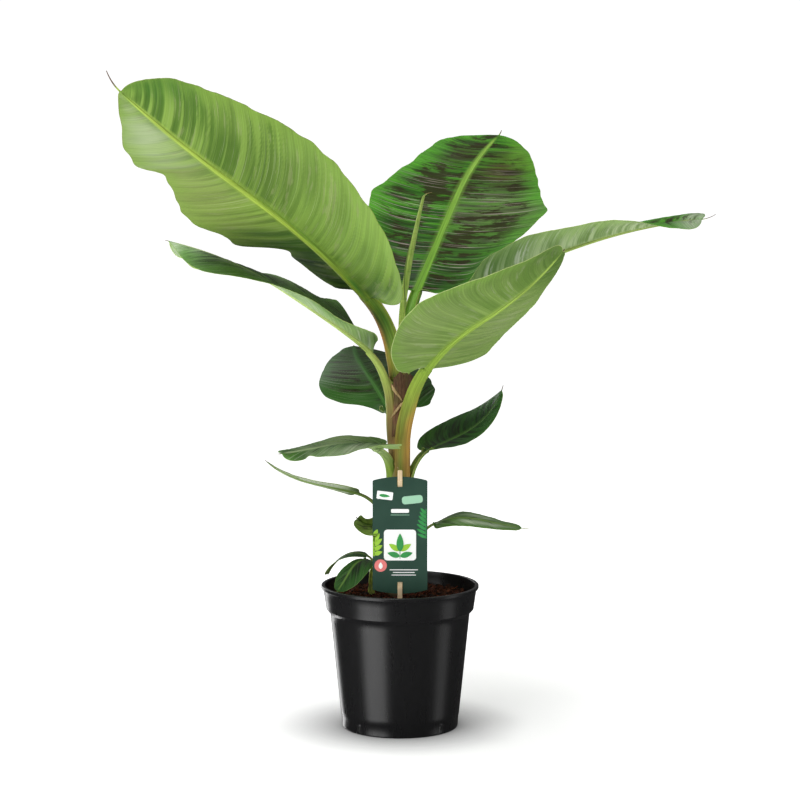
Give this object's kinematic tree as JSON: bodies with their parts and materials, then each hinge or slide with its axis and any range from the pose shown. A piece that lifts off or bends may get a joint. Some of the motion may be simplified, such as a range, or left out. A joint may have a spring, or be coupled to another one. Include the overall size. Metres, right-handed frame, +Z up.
{
  "type": "potted banana plant",
  "caption": "Young banana plant with broad paddle leaves on a short stem, in a round black plastic nursery pot with a plant label on a stick.",
  "frame": {"origin": "centre of the pot's flat underside, on the surface that the plant stands on", "axes": "+Z up along the stem; -Y towards the side that shows the plant label; +X to the right of a viewer who faces the label"},
  "size_m": [0.6208, 0.5909, 0.6955],
  "materials": {
    "leaf": "satin",
    "spear": "satin",
    "stem": "satin",
    "soil": "matte",
    "pot": "gloss",
    "card": "satin",
    "stick": "matte"
  },
  "bodies": {
    "root": {"pot": "pot", "soil": "soil", "trunk": "stem", "side_shoot": "stem", "label_card": "card", "label_stick": "stick", "leaf_rolled": "spear", "leaf_upper_back": "leaf", "leaf_upper_right": "leaf", "leaf_upper_left": "leaf", "leaf_back": "leaf", "leaf_front_right": "leaf", "leaf_middle_left": "leaf", "leaf_lower_left": "leaf", "leaf_lower_right": "leaf", "leaf_narrow_left": "leaf", "leaf_bottom_right": "leaf", "leaf_bottom_left": "leaf", "shoot_leaf_broad": "leaf", "shoot_leaf_narrow": "leaf"}
  },
  "joints": []
}
